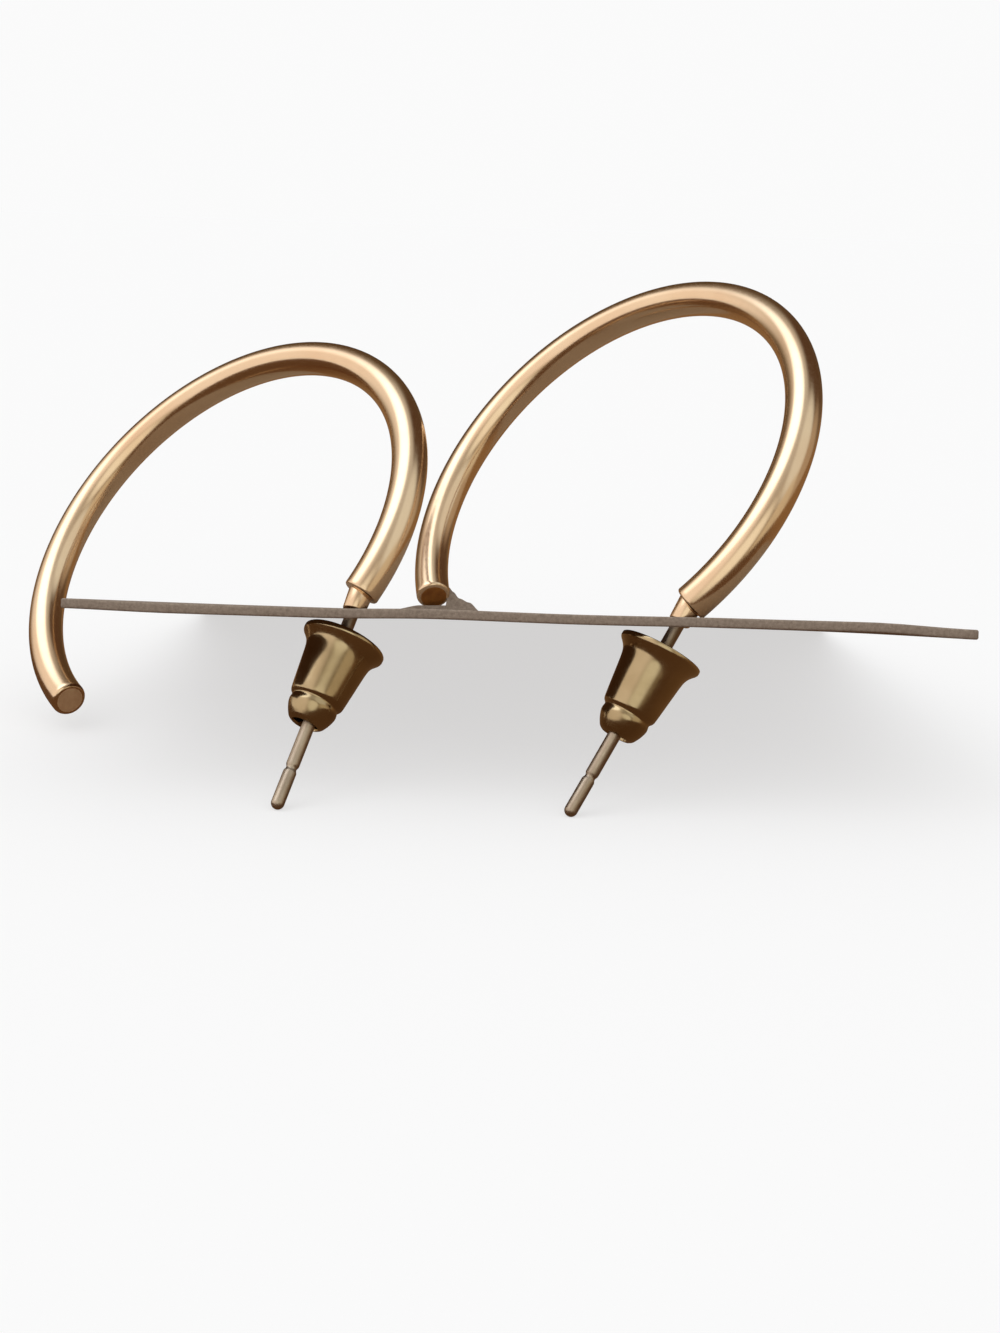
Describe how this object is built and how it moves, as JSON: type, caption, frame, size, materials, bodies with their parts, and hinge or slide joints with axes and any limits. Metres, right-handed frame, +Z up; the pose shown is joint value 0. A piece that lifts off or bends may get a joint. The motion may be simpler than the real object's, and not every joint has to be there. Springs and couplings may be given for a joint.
{
  "type": "hoop earrings on a display card",
  "caption": "Open round-wire hoop earrings, posts through a flat display card and held behind it by flanged bullet clutches.",
  "frame": {"origin": "middle of the bounding box, on the surface that the far edge of the card and the tips of the posts stand on", "axes": "+X along the card's near edge towards the right hoop, +Y away from the viewer towards the card's far edge, +Z up"},
  "size_m": [0.0572, 0.0526, 0.0285],
  "materials": {
    "card": "uncoated grey-brown paperboard, matte",
    "hoop_gold": "polished warm gold plating",
    "clutch_gold": "polished, slightly tarnished gold plating"
  },
  "bodies": {
    "card_and_hoops": {"display_card": "card", "hoop_left": "hoop_gold", "hoop_right": "hoop_gold"},
    "clutch_left": {"clutch_left": "clutch_gold"},
    "clutch_right": {"clutch_right": "clutch_gold"}
  },
  "joints": [
    {"name": "left_clutch_slide", "type": "slide", "parent": "card_and_hoops", "child": "clutch_left", "axis": [-0.275, -0.5962, -0.7542], "range_m": [0, 0.0027]},
    {"name": "right_clutch_slide", "type": "slide", "parent": "card_and_hoops", "child": "clutch_right", "axis": [-0.4741, -0.387, -0.7909], "range_m": [0, 0.0027]}
  ]
}
